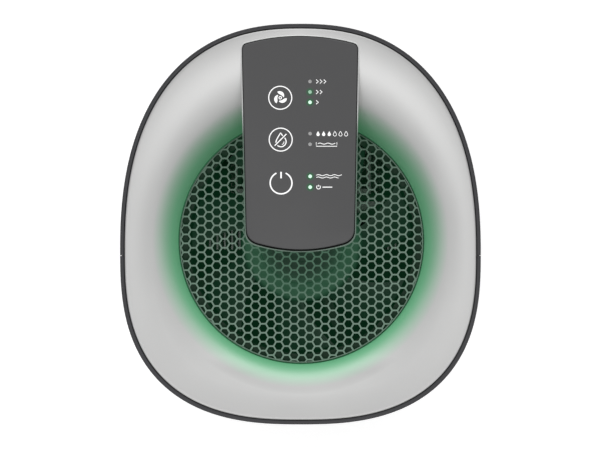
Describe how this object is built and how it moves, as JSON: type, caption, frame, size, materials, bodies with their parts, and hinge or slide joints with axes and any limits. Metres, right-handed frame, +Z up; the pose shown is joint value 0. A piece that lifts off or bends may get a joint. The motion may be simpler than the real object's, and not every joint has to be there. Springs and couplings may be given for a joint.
{
  "type": "dehumidifier",
  "caption": "Tabletop thermoelectric dehumidifier and air purifier with a round top outlet, overhanging touch panel, rear filter door and pull-out water tank.",
  "frame": {"origin": "on the floor under the middle of the cabinet's width and depth", "axes": "+Z up, -Y towards the person who faces the control panel, +X to their right"},
  "size_m": [0.2, 0.222, 0.3109],
  "materials": {
    "charcoal_plastic": "fine-textured charcoal ABS",
    "silver_paint": "satin metallic silver paint on ABS",
    "grille_paint": "satin metallic grey paint on ABS",
    "panel_plastic": "fine-textured dark grey ABS",
    "glow_diffuser": "milky light-guide acrylic, lit green",
    "clear_plastic": "clear polycarbonate",
    "smoke_plastic": "smoke-tinted translucent polycarbonate",
    "foot_rubber": "matt black rubber",
    "black_plastic": "black glass-filled nylon",
    "sink_aluminium": "extruded, bare",
    "module_ceramic": "white alumina",
    "foam": "closed-cell foam",
    "circuit_board": "green solder mask",
    "steel": "zinc-plated steel",
    "copper": "copper and spring bronze",
    "filter_paper": "pleated glass-fibre paper",
    "white_plastic": "white polypropylene"
  },
  "bodies": {
    "cabinet": {"base_plate": "charcoal_plastic", "front_shell": "charcoal_plastic", "rear_shell": "charcoal_plastic", "level_window": "clear_plastic", "top_bezel": "silver_paint", "pod_tray": "silver_paint", "outlet_grille": "grille_paint", "light_ring": "glow_diffuser", "light_strip": "circuit_board", "panel_cover": "panel_plastic", "control_board": "circuit_board", "speed_light_pipes": "clear_plastic", "tank_light_pipes": "clear_plastic", "power_light_pipes": "clear_plastic", "board_screw_rear": "steel", "board_screw_front": "steel", "fan_shroud": "black_plastic", "fan_motor": "copper", "inner_frame": "black_plastic", "hot_heat_sink": "sink_aluminium", "cold_heat_sink": "sink_aluminium", "peltier_module": "module_ceramic", "insulation_pad": "foam", "sink_screw_left": "steel", "sink_screw_right": "steel", "drip_tray": "white_plastic", "power_board": "circuit_board", "full_tank_sensor": "black_plastic", "dc_socket": "black_plastic", "fan_key_spring": "copper", "dry_key_spring": "copper", "power_key_spring": "copper", "foot_front_left": "foot_rubber", "base_screw_front_left": "steel", "fan_screw_front_left": "steel", "foot_front_right": "foot_rubber", "base_screw_front_right": "steel", "fan_screw_front_right": "steel", "foot_rear_left": "foot_rubber", "base_screw_rear_left": "steel", "fan_screw_rear_left": "steel", "foot_rear_right": "foot_rubber", "base_screw_rear_right": "steel", "fan_screw_rear_right": "steel"},
    "fan": {"fan_rotor": "black_plastic", "fan_shaft": "steel", "rotor_magnet": "steel"},
    "filter_door": {"filter_door": "charcoal_plastic", "filter_frame": "white_plastic", "filter_pleats": "filter_paper", "filter_seal": "foam"},
    "tank": {"water_tank": "smoke_plastic", "tank_fascia": "charcoal_plastic"},
    "tank_lid": {"tank_lid": "smoke_plastic"},
    "tank_handle": {"tank_handle": "charcoal_plastic"},
    "tank_float": {"float_arm": "white_plastic", "float_block": "foam", "float_magnet": "steel"},
    "drain_plug": {"drain_plug": "foot_rubber"}
  },
  "joints": [
    {"name": "fan_spin", "type": "hinge", "parent": "cabinet", "child": "fan", "pos_m": [0, -0.009, 0.25], "axis": [0, 0, 1], "continuous": true},
    {"name": "filter_door_hinge", "type": "hinge", "parent": "cabinet", "child": "filter_door", "pos_m": [0, 0.1081, 0.1394], "axis": [-1, 0, 0], "range_deg": [0, 75]},
    {"name": "tank_slide", "type": "slide", "parent": "cabinet", "child": "tank", "axis": [0, 1, 0], "range_m": [0, 0.215]},
    {"name": "tank_lid_lift", "type": "slide", "parent": "tank", "child": "tank_lid", "axis": [0, 0, 1], "range_m": [0, 0.01]},
    {"name": "tank_handle_hinge", "type": "hinge", "parent": "tank", "child": "tank_handle", "pos_m": [0, 0.092, 0.104], "axis": [1, 0, 0], "range_deg": [0, 90]},
    {"name": "float_hinge", "type": "hinge", "parent": "tank", "child": "tank_float", "pos_m": [-0.034, -0.088, 0.096], "axis": [1, 0, 0], "range_deg": [0, 25]},
    {"name": "drain_plug_pull", "type": "slide", "parent": "tank", "child": "drain_plug", "axis": [0, 1, 0], "range_m": [0, 0.015]}
  ]
}
